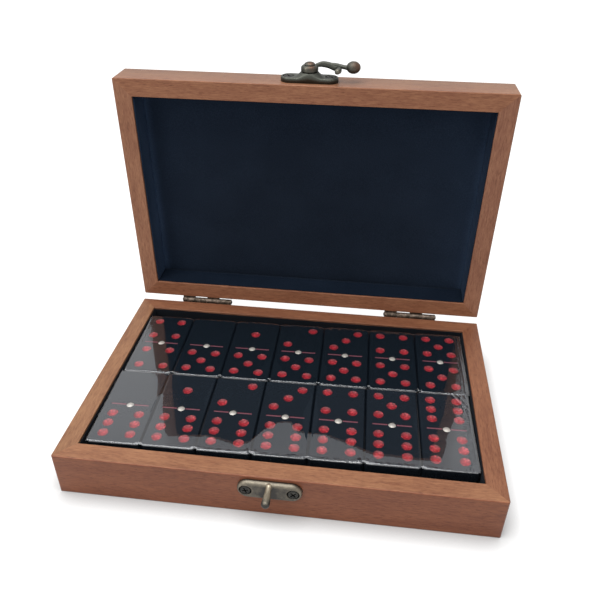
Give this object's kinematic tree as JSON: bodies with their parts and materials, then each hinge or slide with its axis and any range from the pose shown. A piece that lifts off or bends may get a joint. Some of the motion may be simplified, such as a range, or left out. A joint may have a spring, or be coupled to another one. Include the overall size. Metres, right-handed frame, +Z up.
{
  "type": "domino storage box",
  "caption": "Hinged hardwood box, shown open, lined with dark velvet, with a brass swing hook, holding black spinner dominoes with red pips in film-wrapped packs.",
  "frame": {"origin": "centre of the base's underside", "axes": "+X to the right seen from the latch side, +Y towards the hinges, +Z up"},
  "size_m": [0.198, 0.1611, 0.1637],
  "materials": {
    "wood": "satin red-brown stain and lacquer",
    "panel_wood": "satin red-brown stain and lacquer",
    "velvet": "flocked black velvet",
    "old_brass": "dark antique, worn bright on the edges",
    "dark_brass": "dark antique",
    "ebonite": "polished, with painted red pips",
    "nickel": "polished",
    "film": "clear shrink film"
  },
  "bodies": {
    "base": {"base_front_rail": "wood", "base_back_rail": "wood", "base_left_rail": "wood", "base_right_rail": "wood", "base_bottom_panel": "panel_wood", "base_floor_velvet": "velvet", "base_wall_velvet": "velvet", "catch_plate": "old_brass", "catch_screws": "dark_brass", "hinge_left_base_leaf": "old_brass", "hinge_right_base_leaf": "old_brass", "hinge_left_pin": "dark_brass", "hinge_right_pin": "dark_brass", "hinge_base_screws": "dark_brass"},
    "lid": {"lid_front_rail": "wood", "lid_back_rail": "wood", "lid_left_rail": "wood", "lid_right_rail": "wood", "lid_top_panel": "panel_wood", "lid_velvet_pad": "velvet", "lid_wall_velvet": "velvet", "hinge_left_lid_leaf": "old_brass", "hinge_right_lid_leaf": "old_brass", "hinge_lid_screws": "dark_brass", "latch_plate": "old_brass", "latch_screws": "dark_brass", "latch_rivet": "dark_brass"},
    "hook": {"latch_hook": "old_brass"},
    "front_pack": {"domino_0_0": "ebonite", "domino_0_1": "ebonite", "domino_0_2": "ebonite", "domino_0_3": "ebonite", "domino_0_4": "ebonite", "domino_1_1": "ebonite", "domino_1_2": "ebonite", "domino_0_6": "ebonite", "domino_1_6": "ebonite", "domino_2_6": "ebonite", "domino_3_6": "ebonite", "domino_4_6": "ebonite", "domino_5_6": "ebonite", "domino_6_6": "ebonite", "spinners_front": "nickel", "wrap_front": "film"},
    "back_pack": {"domino_1_3": "ebonite", "domino_1_4": "ebonite", "domino_2_2": "ebonite", "domino_2_3": "ebonite", "domino_2_4": "ebonite", "domino_3_3": "ebonite", "domino_3_4": "ebonite", "domino_4_4": "ebonite", "domino_0_5": "ebonite", "domino_1_5": "ebonite", "domino_2_5": "ebonite", "domino_3_5": "ebonite", "domino_4_5": "ebonite", "domino_5_5": "ebonite", "spinners_back": "nickel", "wrap_back": "film"}
  },
  "joints": [
    {"name": "lid_hinge", "type": "hinge", "parent": "base", "child": "lid", "pos_m": [0, 0.0661, 0.0232], "axis": [-1, 0, 0], "range_deg": [-89, 0]},
    {"name": "hook_swing", "type": "hinge", "parent": "lid", "child": "hook", "pos_m": [-0.0012, 0.07203, 0.15343], "axis": [0, -0.0175, 0.9998], "range_deg": [-90, 90]},
    {"name": "front_pack_lift", "type": "slide", "parent": "base", "child": "front_pack", "axis": [0, 0, 1], "range_m": [0, 0.014]},
    {"name": "back_pack_lift", "type": "slide", "parent": "base", "child": "back_pack", "axis": [0, 0, 1], "range_m": [0, 0.014]}
  ]
}
